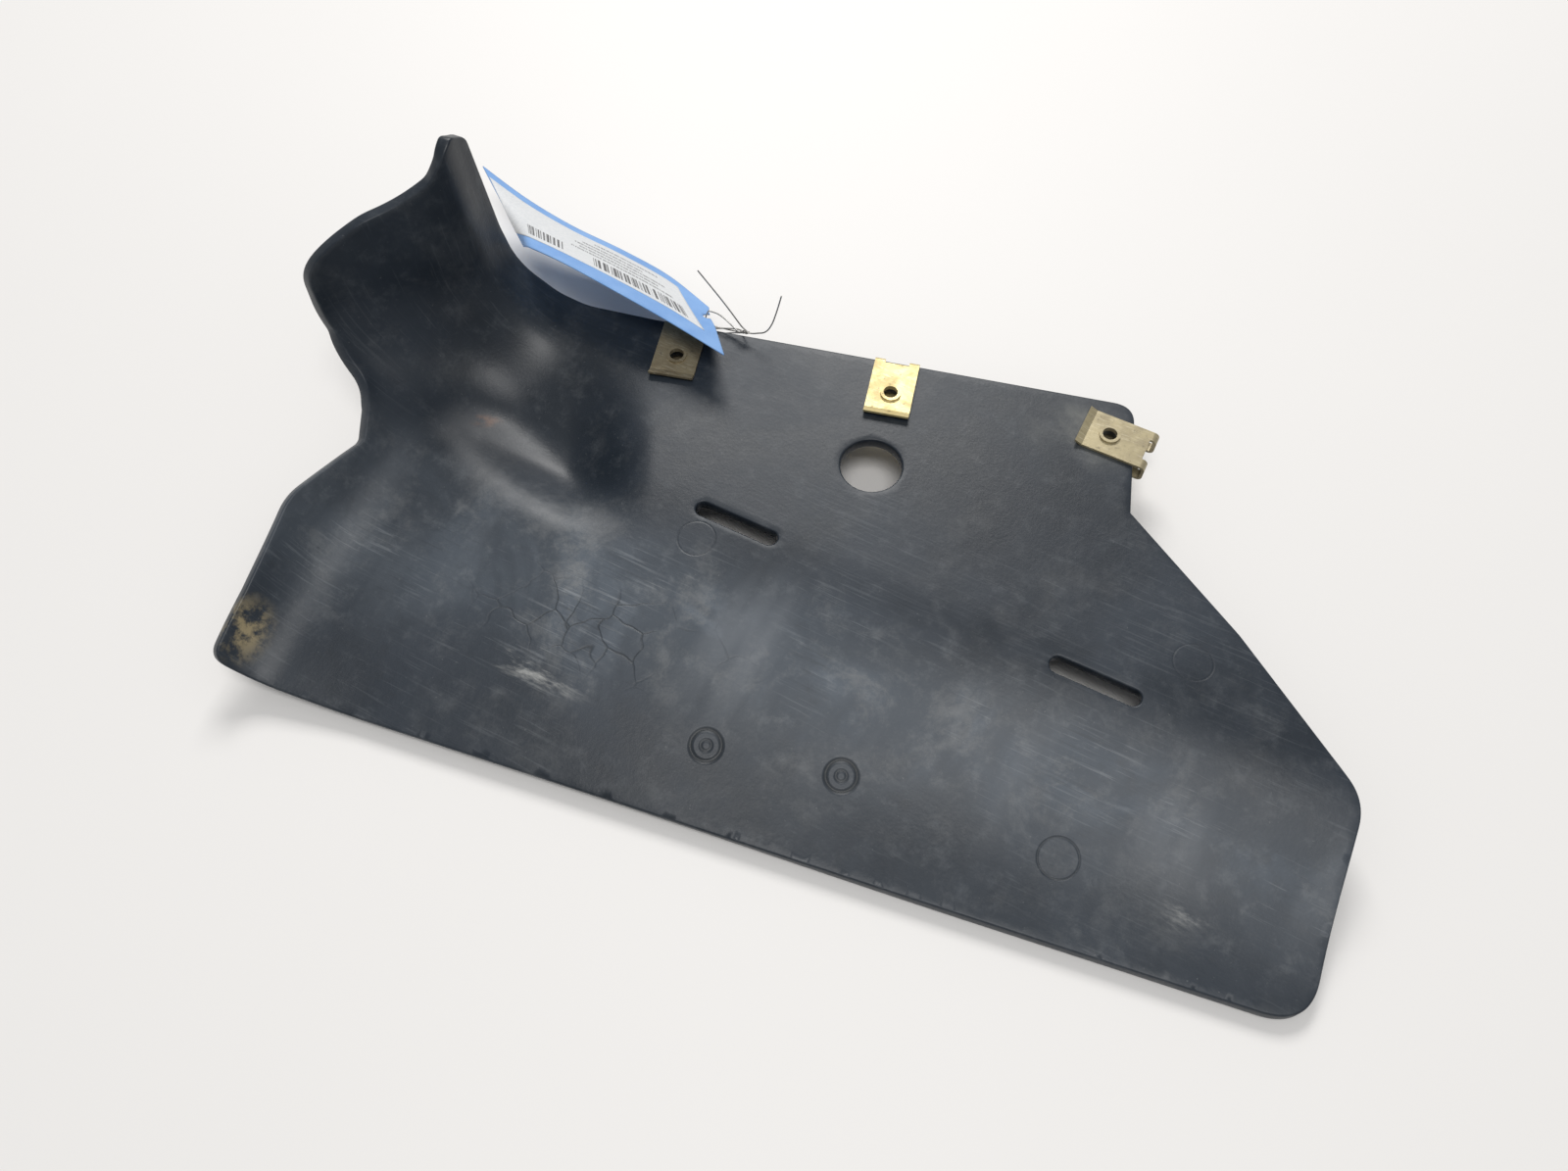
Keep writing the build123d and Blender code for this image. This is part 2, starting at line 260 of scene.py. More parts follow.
def flap_mesh():
    step = 2.0
    loops = [rounded(OUTLINE, 1.3)]
    loops.append(ring(0.0, 0.0, HOLE_R, 72))
    loops += [slot(x, SLOT_Y, SLOT_LENGTH, SLOT_WIDTH, 15) for x in SLOT_X]
    loops += [ring(x, y, SCREW_CLEARANCE_R, 32) for x, y in NUT_AT]
    loops = [p if signed_area(p) > 0 else p[::-1] for p in loops]
    r = EDGE_ROUND
    sections = [(r * (1 - math.sin(a)), r * (1 - math.cos(a))) for a in np.linspace(0, math.pi / 2, 4)]
    profile = sections + [(0.0, SHEET / 2.0)] + [(d_in, SHEET - depth) for d_in, depth in sections[::-1]]
    # inner loops that carry the two faces
    tops = [inset(p, r, i == 0) for i, p in enumerate(loops)]
    flat = np.concatenate(tops)
    edges, base = [], 0
    for p in tops:
        edges += [(base + k, base + (k + 1) % len(p)) for k in range(len(p))]
        base += len(p)
    inner = grid_points(tops, step)
    cloud = [Vector(p) for p in flat] + [Vector(p) for p in inner]
    out = delaunay_2d_cdt(cloud, edges, [], 0, 1e-5)
    pts = np.array([tuple(p) for p in out[0]])
    tris = np.array([f for f in out[2] if len(f) == 3])
    mid = pts[tris].mean(1)
    keep = np.ones(len(tris), bool)
    for i, loop in enumerate(tops):
        inside = np.zeros(len(mid), bool)
        q = np.roll(loop, -1, axis=0)
        for (x0, y0), (x1, y1) in zip(loop, q):
            crosses = (y0 > mid[:, 1]) != (y1 > mid[:, 1])
            dy = y1 - y0 if abs(y1 - y0) > 1e-12 else 1e-12
            inside ^= crosses & (mid[:, 0] < (x1 - x0) * (mid[:, 1] - y0) / dy + x0)
        keep &= inside if i == 0 else ~inside
    tris = tris[keep]
    area = np.cross(pts[tris[:, 1]] - pts[tris[:, 0]], pts[tris[:, 2]] - pts[tris[:, 0]])
    tris = np.where((area > 0)[:, None], tris, tris[:, ::-1])
    top = surface(pts[:, 0], pts[:, 1])
    n = normal(pts[:, 0], pts[:, 1])
    low = top - n * SHEET
    verts = [top, low]
    count = len(pts)
    faces = [tuple(t) for t in tris] + [tuple(t[::-1] + count) for t in tris]
    origin = {given: k for k, sources in enumerate(out[3]) for given in sources}
    total = 2 * count
    begin = 0
    for i, loop in enumerate(loops):
        rows = []
        for k, (d_in, depth) in enumerate(profile):
            if k in (0, len(profile) - 1):
                keys = [origin[begin + q] for q in range(len(loop))]
                rows.append([q + (0 if k == 0 else count) for q in keys])
                continue
            p = inset(loop, d_in, i == 0)
            verts.append(surface(p[:, 0], p[:, 1]) - normal(p[:, 0], p[:, 1]) * depth)
            rows.append(list(range(total, total + len(p))))
            total += len(p)
        begin += len(loop)
        for a, b in zip(rows, rows[1:]):
            for k in range(len(a)):
                m = (k + 1) % len(a)
                quad = (a[k], b[k], b[m], a[m])
                faces.append(quad if i == 0 else quad[::-1])
    return make_mesh("flap_skin", np.concatenate(verts) * MM, faces)


# ---- stock tag ---------------------------------------------------------------
TAG_NEAR = np.array((
    (-157.0, 29.0, 2.0),
    (-146.0, 20.5, 14.0),
    (-128.0, 15.0, 20.5),
    (-107.0, 13.0, 19.5),
    (-84.6, 12.3, 15.5),
    (-61.0, 9.0, 14.0),
))
TAG_FAR = np.array((
    (-197.0, 60.0, -2.0),
    (-176.0, 57.0, -7.0),
    (-154.0, 55.0, -10.0),
    (-132.0, 55.0, -12.5),
    (-110.3, 52.9, -14.0),
    (-83.1, 37.1, -2.0),
))
CARD, LABEL = 0.4, 0.15
TAG_HOLE_R, TAG_HOLE_INSET, TAG_HOLE_ACROSS = 2.0, 4.4, 0.72
TAG_REACH = 140.0           # rough length that t = 0..1 stands for at the tied end
WIRE_R = 0.35 * 0.74        # thinner than the CAD's wire


def along(points, t):
    """Smooth curve through the stations; t runs 0..1 from first to last."""
    s = np.clip(t, 0.0, 1.0) * (len(points) - 1)
    i = np.clip(np.floor(s).astype(int), 0, len(points) - 2)
    f = (s - i)[..., None]
    p0 = points[np.maximum(i - 1, 0)]
    p1, p2 = points[i], points[i + 1]
    p3 = points[np.minimum(i + 2, len(points) - 1)]
    return 0.5 * (2 * p1 + (p2 - p0) * f + (2 * p0 - 5 * p1 + 4 * p2 - p3) * f**2
                  + (3 * p1 - p0 - 3 * p2 + p3) * f**3)


def card_point(t, k):
    t, k = np.asarray(t, float), np.asarray(k, float)
    near, far = along(TAG_NEAR, t), along(TAG_FAR, t)
    return near + (far - near) * k[..., None]


def card_normal(t, k):
    e = 0.004
    a = card_point(np.clip(t + e, 0, 1), k) - card_point(np.clip(t - e, 0, 1), k)
    b = card_point(t, 1.0 + 0 * k) - card_point(t, 0.0 * k)
    n = np.cross(a, b)
    return n / np.linalg.norm(n, axis=-1, keepdims=True)


def leaf(name, t_edge, k_low, k_high, lift, thickness, rows=90, cols=34, torn=False, slant=0.0, taper=0.0):
    """Thin curled leaf of card or paper with closed edges and flat coordinates 0..1."""
    t0, t1 = t_edge
    s = np.linspace(0.0, 1.0, rows)
    c = np.linspace(0.0, 1.0, cols)
    ss, cc = np.meshgrid(s, c, indexing="ij")
    end = t1
    if torn:
        end = t1 - 0.016 * smooth((cc - 0.55) / 0.15) * smooth((1.02 - cc) / 0.2) \
            - 0.003 * np.sin(cc * 37.0) * smooth((cc - 0.5) / 0.2)
    end = end + slant * (1.0 - cc)
    tt = t0 + (end - t0) * ss
    low_edge = k_low + taper * ss
    kk = low_edge + (k_high - low_edge) * cc
    base, n = card_point(tt, kk), card_normal(tt, kk)
    top = (base + n * (lift + thickness)).reshape(-1, 3)
    low = (base + n * lift).reshape(-1, 3)
    uv = np.stack([ss.ravel(), cc.ravel()], -1)
    verts = np.concatenate([top, low]) * MM
    uv = np.concatenate([uv, uv])
    count = rows * cols
    faces = []
    for i in range(rows - 1):
        for j in range(cols - 1):
            a, b = i * cols + j, (i + 1) * cols + j
            faces.append((a, b, b + 1, a + 1))
            faces.append((count + a + 1, count + b + 1, count + b, count + a))
    border = [i * cols for i in range(rows)] + [(rows - 1) * cols + j for j in range(1, cols)]
    border += [i * cols + cols - 1 for i in range(rows - 2, -1, -1)] + list(range(cols - 2, 0, -1))
    for a, b in zip(border, border[1:] + border[:1]):
        faces.append((b, a, count + a, count + b))
    return make_mesh(name, verts, faces, uv)


def punch(obj, centre, direction, radius):
    """Cuts a round hole through obj, in millimetres."""
    place = Vector(centre) * MM
    bpy.ops.mesh.primitive_cylinder_add(vertices=40, radius=radius * MM, depth=8.0 * MM, location=place)
    cutter = bpy.context.object
    cutter.rotation_euler = Vector(direction).to_track_quat("Z", "Y").to_euler()
    cut = obj.modifiers.new("hole", "BOOLEAN")
    cut.operation = "DIFFERENCE"
    cut.object = cutter
    bpy.context.view_layer.update()
    done = obj.evaluated_get(bpy.context.evaluated_depsgraph_get())
    mesh = bpy.data.meshes.new_from_object(done)
    obj.modifiers.clear()
    obj.data = mesh
    bpy.data.objects.remove(cutter)


# ---- tie wire ------------------------------------------------------------------
KNOT = np.array((-63.5, 29.0, 3.5))
TAIL_A = (
    (-65.0, 29.4, 5.2),
    (-67.3, 29.6, 8.0),
    (-71.1, 29.2, 14.0),
    (-76.5, 29.2, 20.4),
    (-81.7, 29.4, 26.0),
)
TAIL_B = (
    (-61.0, 29.3, 3.9),
    (-58.8, 29.7, 5.0),
    (-56.4, 29.9, 6.2),
    (-54.4, 30.3, 9.0),
    (-52.6, 31.3, 15.0),
    (-51.1, 33.2, 25.0),
)


def tube(name, points, radius):
    curve = bpy.data.curves.new(name, "CURVE")
    curve.dimensions = "3D"
    curve.bevel_depth = radius * MM
    curve.bevel_resolution = 3
    curve.use_fill_caps = True
    curve.resolution_u = 8
    spline = curve.splines.new("NURBS")
    spline.points.add(len(points) - 1)
    for p, q in zip(spline.points, points):
        p.co = (q[0] * MM, q[1] * MM, q[2] * MM, 1.0)
    spline.order_u = 3
    spline.use_endpoint_u = True
    obj = bpy.data.objects.new(name, curve)
    bpy.context.scene.collection.objects.link(obj)
    return obj


def twist(a, b, turns, radius, phase, count=28):
    """One strand of a two-strand twist from a to b."""
    a, b = np.array(a, float), np.array(b, float)
    d = (b - a) / np.linalg.norm(b - a)
    x = np.cross(d, (0.0, 0.0, 1.0))
    x /= np.linalg.norm(x)
    y = np.cross(d, x)
    t = np.linspace(0.0, 1.0, count)
    w = 2.0 * math.pi * turns * t + phase
    return a + (b - a) * t[:, None] + radius * (np.cos(w)[:, None] * x + np.sin(w)[:, None] * y)


# ---- materials -------------------------------------------------------------------
class Paint:
    """Short names for building a node material."""

    def __init__(self, name):
        self.mat = bpy.data.materials.new(name)
        self.mat.use_nodes = True
        self.tree = self.mat.node_tree
        self.shader = self.tree.nodes["Principled BSDF"]
        self.where = self.node("ShaderNodeTexCoord").outputs["Object"]

    def node(self, kind, **values):
        n = self.tree.nodes.new(kind)
        for key, value in values.items():
            setattr(n, key, value)
        return n

    def put(self, socket, value):
        if hasattr(value, "links"):
            self.tree.links.new(value, socket)
        else:
            socket.default_value = value

    def noise(self, scale, detail=6.0, rough=0.55, distort=0.0, at=None, stretch=None):
        n = self.node("ShaderNodeTexNoise")
        at = self.where if at is None else at
        if stretch is not None:
            m = self.node("ShaderNodeMapping")
            self.put(m.inputs["Vector"], at)
            m.inputs["Scale"].default_value = stretch[:3]
            if len(stretch) > 3:
                m.inputs["Rotation"].default_value = stretch[3:]
            at = m.outputs["Vector"]
        self.put(n.inputs["Vector"], at)
        n.inputs["Scale"].default_value = scale
        n.inputs["Detail"].default_value = detail
        n.inputs["Roughness"].default_value = rough
        n.inputs["Distortion"].default_value = distort
        return n.outputs["Fac"]

    def math(self, op, a, b=0.0, c=0.0):
        n = self.node("ShaderNodeMath", operation=op)
        for s, v in zip(n.inputs, (a, b, c)):
            self.put(s, v)
        return n.outputs[0]

    def level(self, base, gain, value):
        """base + gain * value"""
        return self.math("ADD", base, self.math("MULTIPLY", gain, value))

    def span(self, value, low, high, to_low=0.0, to_high=1.0):
        n = self.node("ShaderNodeMapRange", interpolation_type="SMOOTHSTEP")
        for s, v in zip(n.inputs, (value, low, high, to_low, to_high)):
            self.put(s, v)
        return n.outputs[0]

    def mix(self, amount, a, b):
        n = self.node("ShaderNodeMix", data_type="RGBA")
        self.put(n.inputs[0], amount)
        self.put(n.inputs[6], a)
        self.put(n.inputs[7], b)
        return n.outputs[2]

    def axes(self, at=None):
        n = self.node("ShaderNodeSeparateXYZ")
        self.put(n.inputs[0], self.where if at is None else at)
        return n.outputs

    def blob(self, x, y, rx, ry=None, angle=0.0):
        """0 at the centre (x, y), 1 on an ellipse rx by ry, in millimetres."""
        ry = rx if ry is None else ry
        ax = self.axes()
        dx = self.math("SUBTRACT", ax[0], x * MM)
        dy = self.math("SUBTRACT", ax[1], y * MM)
        ca, sa = math.cos(math.radians(angle)), math.sin(math.radians(angle))
        rx, ry = rx * MM, ry * MM
        p = self.total(self.times(dx, ca / rx), self.times(dy, sa / rx))
        q = self.total(self.times(dx, -sa / ry), self.times(dy, ca / ry))
        return self.math("SQRT", self.total(self.times(p, p), self.times(q, q)))

    def ring(self, x, y, r, width):
        """1 on a circle's line, 0 away from it."""
        off = self.math("ABSOLUTE", self.math("SUBTRACT", self.blob(x, y, r), 1.0))
        return self.span(off, 0.0, width / r, 1.0, 0.0)

    def total(self, *values):
        out = values[0]
        for v in values[1:]:
            out = self.math("ADD", out, v)
        return out

    def most(self, *values):
        out = values[0]
        for v in values[1:]:
            out = self.math("MAXIMUM", out, v)
        return out

    def times(self, *values):
        out = values[0]
        for v in values[1:]:
            out = self.math("MULTIPLY", out, v)
        return out

    def bump(self, height, strength, distance):
        n = self.node("ShaderNodeBump")
        n.inputs["Strength"].default_value = strength
        n.inputs["Distance"].default_value = distance
        self.put(n.inputs["Height"], height)
        self.put(self.shader.inputs["Normal"], n.outputs[0])

    def finish(self, colour, rough, metal=0.0, **extra):
        self.put(self.shader.inputs["Base Color"], colour)
        self.put(self.shader.inputs["Roughness"], rough)
        self.put(self.shader.inputs["Metallic"], metal)
        for key, value in extra.items():
            self.put(self.shader.inputs[key.replace("_", " ")], value)
        return self.mat


def scratches(p, scale, rotation, low, high):
    """Fine directional lines, broken up along their length."""
    lines = p.noise(scale, 3.0, 0.6, 0.6, stretch=(1.0, 26.0, 1.0, 0.0, 0.0, rotation))
    gaps = p.noise(scale * 0.35, 3.0, 0.5)
    return p.times(p.span(lines, low, high), p.span(gaps, 0.5, 0.62))


def rubber():
    p = Paint("scuffed_rubber")
    ax = p.axes()
    cloud = p.noise(14.0, 8.0, 0.62, 0.4)
    fine = p.noise(150.0, 8.0, 0.7)
    speck = p.noise(900.0, 4.0, 0.6)
    # dust and handling wear gather on the bend and over the front panel; the same pale mask is also a
    # painted highlight, the sheen along the bend, and it is kept off a strip by the front edge, which
    # stays dark as a painted dark reflection
    front = p.span(ax[1], -0.042, -0.078)
    ahead = p.math("SUBTRACT", ax[1], p.math("ADD", FRONT_Y0 * MM, p.math("MULTIPLY", ax[0], FRONT_SLOPE)))
    # far_front fades the pale wear and painted sheen out towards the front edge, so that strip stays dark
    # as a painted dark reflection
    far_front = p.span(ahead, 0.014, 0.062)
    middle = p.span(ax[0], -0.15, -0.02)
    wear_and_bend_sheen = p.times(front, p.level(0.35, 0.65, middle), p.level(0.08, 0.92, far_front))
    patch = p.span(p.noise(22.0, 7.0, 0.6, 0.8), 0.42, 0.66)
    scuff_and_bend_sheen = p.times(wear_and_bend_sheen, p.level(0.45, 0.55, patch))
    flat = p.times(p.span(ax[0], -0.09, 0.02), 0.05)
    scuff_and_bend_sheen = p.total(scuff_and_bend_sheen, p.times(flat, p.span(cloud, 0.35, 0.7)))
    dark, slate, pale = (0.010, 0.015, 0.022, 1), (0.019, 0.027, 0.039, 1), (0.108, 0.130, 0.158, 1)
    colour = p.mix(p.span(cloud, 0.3, 0.72), dark, slate)
    # pale here is both wear and a painted highlight along the bend
    colour = p.mix(p.math("MINIMUM", scuff_and_bend_sheen, 1.0), colour, pale)
    powder = p.times(p.span(fine, 0.50, 0.74), p.level(0.12, 0.38, scuff_and_bend_sheen))
    colour = p.mix(powder, colour, (0.20, 0.215, 0.23, 1))
    colour = p.mix(p.times(p.span(speck, 0.66, 0.78), 0.30), colour, (0.26, 0.265, 0.26, 1))
    mottle = p.noise(38.0, 10.0, 0.78, 0.25)
    light_mottle = p.times(p.span(mottle, 0.49, 0.66), p.level(0.07, 0.60, scuff_and_bend_sheen))
    colour = p.mix(light_mottle, colour, (0.22, 0.222, 0.22, 1))
    colour = p.mix(p.times(p.span(mottle, 0.46, 0.30), 0.35), colour, (0.016, 0.020, 0.025, 1))
    drawn_out = p.noise(30.0, 4.0, 0.5, stretch=(1.0, 0.10, 1.0, 0.0, 0.0, 0.5))
    streak = p.times(p.span(drawn_out, 0.52, 0.68), wear_and_bend_sheen)
    colour = p.mix(p.times(streak, 0.45), colour, (0.19, 0.205, 0.225, 1))
    # light scratches in three directions, dark ones in two, and whitish scrapes in front
    light_lines = p.most(
        scratches(p, 34.0, 0.35, 0.57, 0.65),
        scratches(p, 52.0, -1.1, 0.58, 0.66),
        scratches(p, 41.0, 0.95, 0.59, 0.67),
    )
    colour = p.mix(p.times(light_lines, p.level(0.05, 0.55, scuff_and_bend_sheen)), colour, (0.30, 0.32, 0.34, 1))
    dark_lines = p.most(scratches(p, 37.0, -0.15, 0.56, 0.63), scratches(p, 61.0, 1.5, 0.57, 0.65))
    colour = p.mix(p.times(dark_lines, p.level(0.05, 0.5, scuff_and_bend_sheen)), colour, (0.012, 0.015, 0.018, 1))
    scraped = p.span(p.noise(70.0, 6.0, 0.7, 0.5, stretch=(0.35, 1.0, 1.0)), 0.56, 0.72)
    left_scrape = p.span(p.blob(-62, -112, 26, 12, 8), 1.0, 0.2)
    right_scrape = p.span(p.blob(150, -80, 12, 24, -20), 1.0, 0.2)
    scrape = p.times(scraped, p.most(left_scrape, right_scrape))
    colour = p.mix(p.times(scrape, 0.75), colour, (0.50, 0.50, 0.48, 1))
    # dark crack-like lines at the bowl's front rim
    crack = p.node("ShaderNodeTexVoronoi", feature="DISTANCE_TO_EDGE")
    warp = p.node("ShaderNodeVectorMath", operation="ADD")
    p.put(warp.inputs[0], p.where)
    wobble = p.node("ShaderNodeVectorMath", operation="SCALE")
    colour_noise = p.node("ShaderNodeTexNoise")
    p.put(colour_noise.inputs["Vector"], p.where)
    colour_noise.inputs["Scale"].default_value = 60.0
    p.put(wobble.inputs[0], colour_noise.outputs["Color"])
    wobble.inputs["Scale"].default_value = 0.012
    p.put(warp.inputs[1], wobble.outputs[0])
    p.put(crack.inputs["Vector"], warp.outputs[0])
    crack.inputs["Scale"].default_value = 75.0
    line = p.span(crack.outputs["Distance"], 0.0, 0.035, 1.0, 0.0)
    zone = p.span(p.blob(-50, -92, 62, 20, 8), 1.0, 0.3)
    cracks = p.times(line, zone, p.span(cloud, 0.40, 0.50))
    colour = p.mix(p.times(cracks, 0.55), colour, (0.012, 0.014, 0.016, 1))
    # dirt: gold dust at the left front corner, rust by the bowl, pale dust by the right U-nut
    dirt = p.times(p.span(p.blob(-152, -146, 9, 14), 1.0, 0.1), p.span(fine, 0.42, 0.6))
    colour = p.mix(p.times(dirt, 0.75), colour, (0.36, 0.29, 0.16, 1))
    rust = p.times(p.span(p.blob(-131, -40, 7, 4, 40), 1.0, 0.2), p.span(fine, 0.4, 0.6))
    colour = p.mix(p.times(rust, 0.6), colour, (0.16, 0.070, 0.032, 1))
    dust = p.times(p.span(p.blob(58, 44, 24, 18), 1.0, 0.3), p.span(cloud, 0.42, 0.62))
    colour = p.mix(p.times(dust, 0.5), colour, (0.26, 0.26, 0.23, 1))
    # moulding marks: ejector circles and two screw-head imprints
    rings = p.total(
        p.times(p.ring(-39, -52, 6.3, 0.5), 0.45),
        p.times(p.ring(121, -21.5, 6.3, 0.5), 0.25),
        p.times(p.ring(107, -94, 6.3, 0.6), 0.8),
        p.times(p.ring(-3.7, -111.2, 4.9, 1.2), 1.6),
        p.times(p.ring(37.9, -100.7, 4.9, 1.2), 1.6),
        p.ring(-3.7, -111.2, 1.7, 0.9),
        p.ring(37.9, -100.7, 1.7, 0.9),
    )
    colour = p.mix(p.math("MINIMUM", p.times(rings, 0.62), 1.0), colour, (0.018, 0.022, 0.026, 1))
    grain = p.total(p.times(fine, 0.5), p.times(speck, 0.25), p.times(rings, -1.3))
    grain = p.total(grain, p.times(cracks, -1.0), p.times(cloud, 1.2))
    p.bump(grain, 0.55, 0.00028)
    rough = p.total(p.span(cloud, 0.25, 0.75, 0.30, 0.44), p.times(p.math("MINIMUM", scuff_and_bend_sheen, 1.0), 0.12))
    rough = p.total(rough, p.times(mottle, 0.10))
    return p.finish(colour, rough, 0.0, Specular_IOR_Level=0.42)


def zinc(name, tint, tarnish, dark_amount):
    p = Paint(name)
    cloud = p.noise(90.0, 6.0, 0.6, 0.5)
    grit = p.noise(650.0, 6.0, 0.7)
    brushed = p.noise(240.0, 4.0, 0.6, stretch=(1.0, 9.0, 1.0))
    colour = p.mix(p.span(cloud, 0.35, 0.68), tint, tarnish)
    colour = p.mix(p.times(p.span(brushed, 0.5, 0.75), 0.35), colour, (0.78, 0.72, 0.55, 1))
    colour = p.mix(p.times(p.span(grit, 0.56, 0.70), dark_amount), colour, (0.10, 0.085, 0.06, 1))
    p.bump(p.total(p.times(grit, 0.5), p.times(brushed, 0.5), cloud), 0.4, 0.00009)
    return p.finish(colour, p.span(cloud, 0.3, 0.7, 0.32, 0.50), 0.45)


def card_paint():
    p = Paint("blue_tag_card")
    fibre = p.noise(700.0, 8.0, 0.7)
    cloud = p.noise(70.0, 5.0, 0.55)
    colour = p.mix(p.span(cloud, 0.3, 0.7), (0.165, 0.335, 0.660, 1), (0.215, 0.395, 0.715, 1))
    colour = p.mix(p.times(p.span(fibre, 0.5, 0.75), 0.25), colour, (0.38, 0.53, 0.80, 1))
    p.bump(fibre, 0.25, 0.00006)
    return p.finish(colour, p.span(fibre, 0.3, 0.7, 0.62, 0.78))


def label_paint():
    """Pale label printed with generic bars and dashed rules, no lettering."""
    p = Paint("printed_label")
    flat = p.node("ShaderNodeUVMap").outputs[0]
    uv = p.axes(flat)
    s, c = uv[0], uv[1]
    fibre = p.noise(900.0, 6.0, 0.65)
    paper = p.mix(p.span(fibre, 0.3, 0.7), (0.60, 0.62, 0.64, 1), (0.70, 0.71, 0.72, 1))

    def box(s0, s1, c0, c1):
        parts = [p.math("GREATER_THAN", s, s0), p.math("LESS_THAN", s, s1)]
        parts += [p.math("GREATER_THAN", c, c0), p.math("LESS_THAN", c, c1)]
        return p.times(*parts)

    def stripes(density, cut):
        n = p.node("ShaderNodeTexNoise", noise_dimensions="1D")
        p.put(n.inputs["W"], p.times(s, density))
        n.inputs["Scale"].default_value = 1.0
        n.inputs["Detail"].default_value = 2.0
        return p.math("GREATER_THAN", n.outputs["Fac"], cut)

    fields = p.most(box(0.20, 0.42, 0.10, 0.36), box(0.56, 0.95, 0.08, 0.34))
    ink = p.times(stripes(88.0, 0.5), fields)
    # start and end along the label, place across it
    rules = (
        (0.46, 0.92, 0.42),
        (0.50, 0.86, 0.52),
        (0.48, 0.90, 0.62),
        (0.52, 0.80, 0.72),
        (0.58, 0.88, 0.83),
    )
    for k, (a, b, y) in enumerate(rules):
        dash = stripes(150.0 + 17.0 * k, 0.44)
        ink = p.most(ink, p.times(box(a, b, y, y + 0.045), dash, 0.7))
    colour = p.mix(p.times(ink, 0.95), paper, (0.035, 0.035, 0.04, 1))
    p.bump(fibre, 0.2, 0.00004)
    return p.finish(colour, p.span(fibre, 0.3, 0.7, 0.45, 0.6))


def wire_paint():
    p = Paint("dull_wire")
    grit = p.noise(1200.0, 5.0, 0.6)
    cloud = p.noise(160.0, 4.0, 0.5)
    colour = p.mix(p.span(cloud, 0.35, 0.7), (0.34, 0.33, 0.31, 1), (0.52, 0.51, 0.49, 1))
    colour = p.mix(p.times(p.span(grit, 0.55, 0.75), 0.5), colour, (0.12, 0.09, 0.06, 1))
    return p.finish(colour, p.span(grit, 0.3, 0.7, 0.35, 0.55), 0.8)


def floor_paint():
    p = Paint("pale_table")
    cloud = p.noise(3.0, 4.0, 0.5)
    colour = p.mix(cloud, (0.80, 0.785, 0.77, 1), (0.83, 0.815, 0.80, 1))
    return p.finish(colour, 0.55)


def dress(obj, mat, slot_name, body, *nodes):
    obj.data.materials.clear()
    obj.data.materials.append(mat)
    if nodes:
        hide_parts(*nodes)
    if body:
        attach(obj, body)
    return obj


# ---- build -----------------------------------------------------------------------
dress(flap_mesh(), rubber(), "flap_rubber", "flap", "flap_panel")

finishes = {
    # the left U-nut gets a darker copy of the zinc, painted shade for the tag's shadow across it
    "clip_left": zinc("shaded_dark_zinc", (0.36, 0.30, 0.19, 1), (0.20, 0.16, 0.10, 1), 0.6),
    "clip_middle": zinc("bright_zinc", (0.70, 0.58, 0.29, 1), (0.50, 0.40, 0.18, 1), 0.75),
    "clip_right": zinc("dull_zinc", (0.42, 0.36, 0.22, 1), (0.29, 0.245, 0.155, 1), 0.6),
}
for node, finish in finishes.items():
    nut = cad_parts[node]
    nut.data.materials.clear()
    nut.data.materials.append(finish)
    soften = nut.modifiers.new("soften", "BEVEL")
    soften.width = 0.00018
    soften.segments = 2
    soften.limit_method = "ANGLE"

# the card and its label
tie_t = np.array([1.0 - TAG_HOLE_INSET / TAG_REACH])
tie = card_point(tie_t, np.array([TAG_HOLE_ACROSS]))[0]
tie_up = card_normal(tie_t, np.array([TAG_HOLE_ACROSS]))[0]
card = leaf("tag_leaf", (0.0, 1.0), 0.0, 1.0, 0.0, CARD, torn=True)
punch(card, tie, tie_up, TAG_HOLE_R)
dress(card, card_paint(), "tag_card", "tag", "tag_card")
label = leaf("tag_sticker", (0.006, 0.84), 0.17, 0.86, CARD + 0.02, LABEL, slant=0.085, taper=0.10)
dress(label, label_paint(), "label_paper", "tag", "tag_label")

wire_mat = wire_paint()
# points round the tie hole: towards the knot, sideways, out of the card's face
EYE = (
    (1.2, -0.3, -2.4),
    (-0.6, -0.2, -2.0),
    (-1.2, 0.0, 0.0),
    (-0.4, 0.3, 2.2),
    (1.8, 0.6, 2.6),
    (5.5, 1.0, 2.0),
)
UNDER = (
    (4.0, -1.4, -2.6),
    (7.5, -1.6, -1.0),
)
out = (KNOT - tie) / np.linalg.norm(KNOT - tie)
side = np.cross(tie_up, out)
eye = [tie + out * a + side * b + tie_up * c for a, b, c in EYE]
under = [tie + out * a + side * b + tie_up * c for a, b, c in UNDER]


def knot_twist(phase):
    return list(twist(KNOT + (-2.0, -0.3, 0.0), KNOT + (1.2, 0.2, 0.4), 1.5, 0.45, phase))


strands = {
    "tie_strand_over": eye[3:] + [KNOT + (-3.0, -0.8, 0.3)] + knot_twist(0.0),
    "tie_strand_under": eye[:4][::-1] + under + [KNOT + (-3.5, 0.6, -0.5)] + knot_twist(math.pi),
    "tie_tail_a": [KNOT + (1.0, 0.1, 0.3), KNOT + (0.3, 0.2, 1.0)] + [np.array(q) for q in TAIL_A],
    "tie_tail_b": [KNOT + (0.6, 0.1, 0.3)] + [np.array(q) for q in TAIL_B],
}
nut_turn = math.radians(LEFT_NUT_TURN)
nut_x = np.array((math.cos(nut_turn), math.sin(nut_turn), 0.0))
nut_y = np.array((-math.sin(nut_turn), math.cos(nut_turn), 0.0))
nut_at = np.array(NUT_AT[0] + (0.0,))
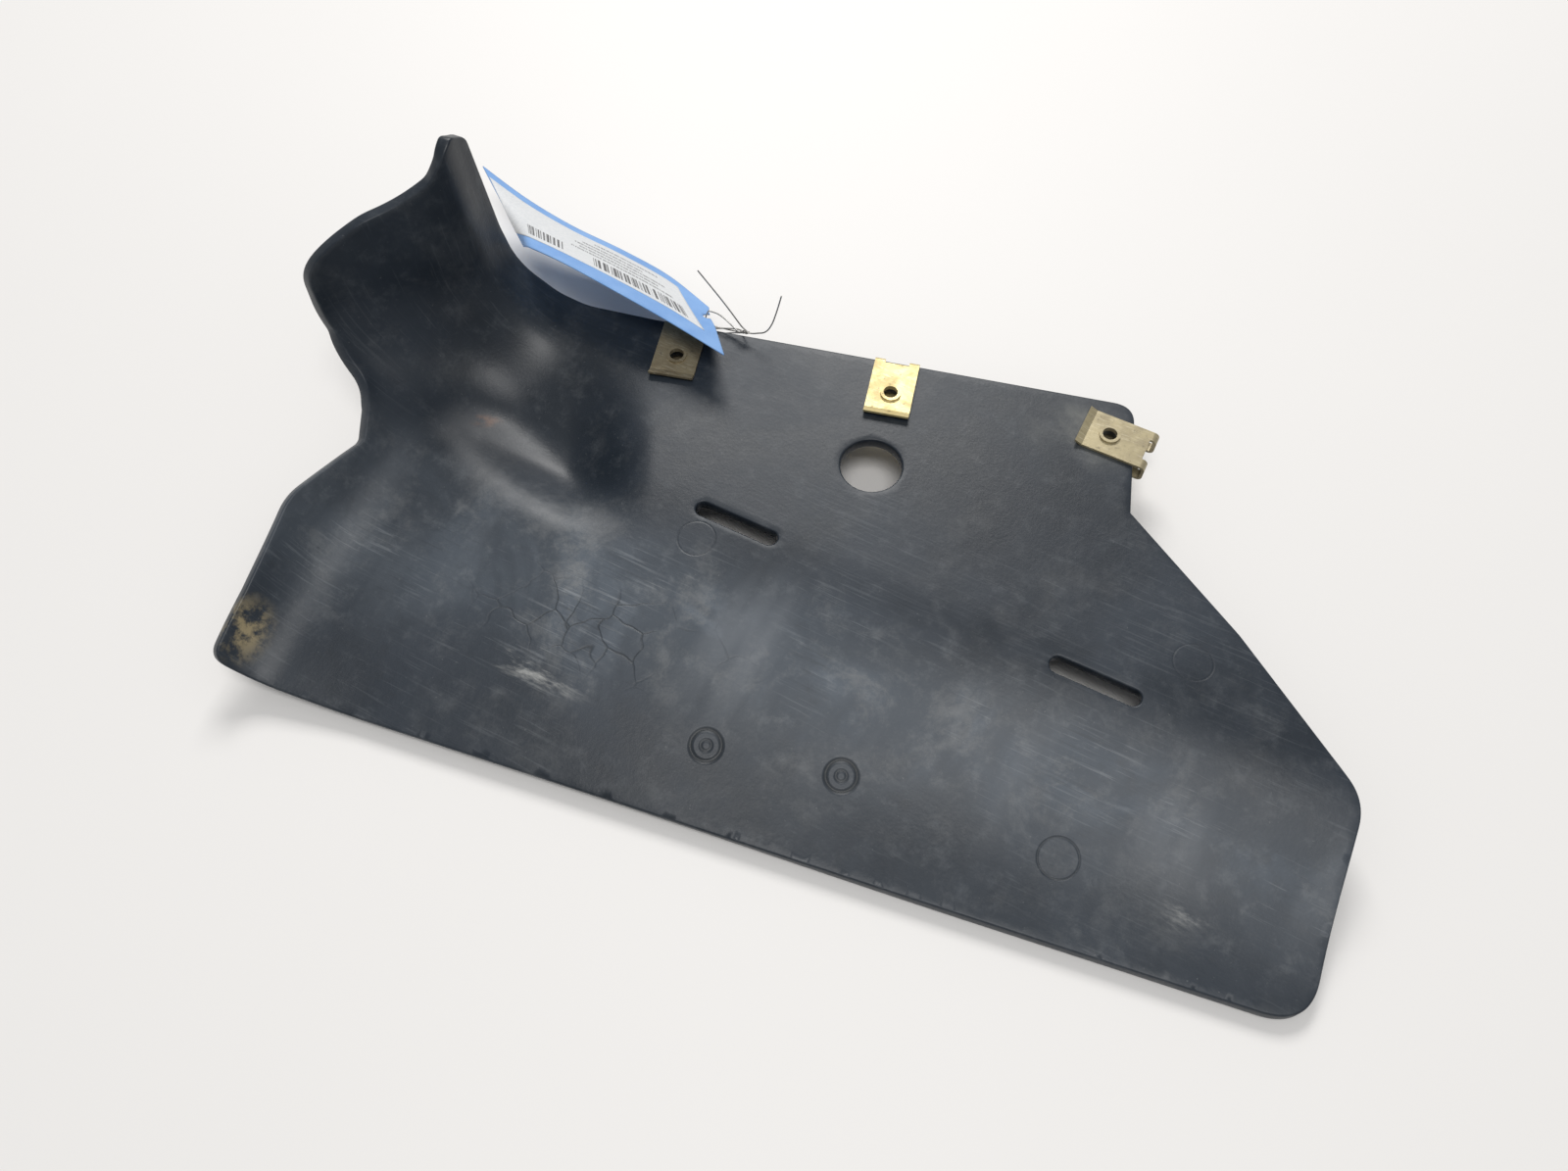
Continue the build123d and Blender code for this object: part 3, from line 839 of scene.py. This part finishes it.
# round one strap of the left U-nut: towards its closed end, sideways, up
AROUND = (
    (15.7, -12.1, 0.9),
    (15.4, -9.3, 1.6),
    (15.3, -8.4, 1.95),
    (15.3, -3.9, 1.95),
    (15.3, -3.5, 1.4),
    (15.3, -3.5, -5.8),
    (15.3, -3.9, -6.5),
    (15.3, -8.4, -6.5),
    (15.8, -9.6, -6.0),
    (17.5, -12.5, -4.0),
)
hold = [nut_at + nut_x * a + nut_y * b + np.array((0, 0, c)) for a, b, c in AROUND]
from_knot = [KNOT + (0.4, 0.0, 0.0), KNOT + (-3.0, 0.2, -1.4)]
to_knot = [KNOT + (-1.5, 2.0, -3.0), KNOT + (0.4, 0.3, -0.2)]
strands["tie_hold"] = from_knot + hold + to_knot
for name, points in strands.items():
    wire = tube(name, points, WIRE_R)
    dress(wire, wire_mat, "tie_wire", "clip_left", "tag_wire")

# ---- floor, light, camera -----------------------------------------------------------
low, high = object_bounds()
bpy.ops.mesh.primitive_plane_add(size=6.0, location=(0.0, 0.0, low.z - 0.0002))
floor = bpy.context.object
floor.name = "floor"
floor.data.materials.append(floor_paint())


def area(name, location, target, size, power, colour=(1, 1, 1)):
    data = bpy.data.lights.new(name, "AREA")
    data.shape = "RECTANGLE"
    data.size, data.size_y = size
    data.energy = power
    data.color = colour
    obj = bpy.data.objects.new(name, data)
    obj.location = location
    obj.rotation_euler = (Vector(target) - Vector(location)).to_track_quat("-Z", "Y").to_euler()
    bpy.context.scene.collection.objects.link(obj)
    return obj


area("overhead", (0.25, -0.50, 1.95), (0.02, -0.04, 0.0), (1.0, 0.7), 18.0, (1.0, 0.99, 0.975))
area("rear_soft", (-0.68, 1.33, 1.34), (0.0, -0.02, 0.0), (0.9, 0.7), 25.0, (1.0, 0.985, 0.965))
world = bpy.data.worlds.new("studio")
bpy.context.scene.world = world
world.use_nodes = True
world.node_tree.nodes["Background"].inputs[0].default_value = (0.96, 0.98, 1.0, 1)
world.node_tree.nodes["Background"].inputs[1].default_value = 0.32

lens = bpy.data.cameras.new("photo_camera")
lens.sensor_width = 36.0
lens.lens = 29.95
lens.clip_start = 0.01
camera = bpy.data.objects.new("photo_camera", lens)
camera.location = (0.08733, -0.23642, 0.3673)
camera.rotation_euler = (math.radians(29.0), 0.0, math.radians(27.017))
bpy.context.scene.collection.objects.link(camera)
bpy.context.scene.camera = camera
bpy.context.scene.view_settings.view_transform = "Standard"
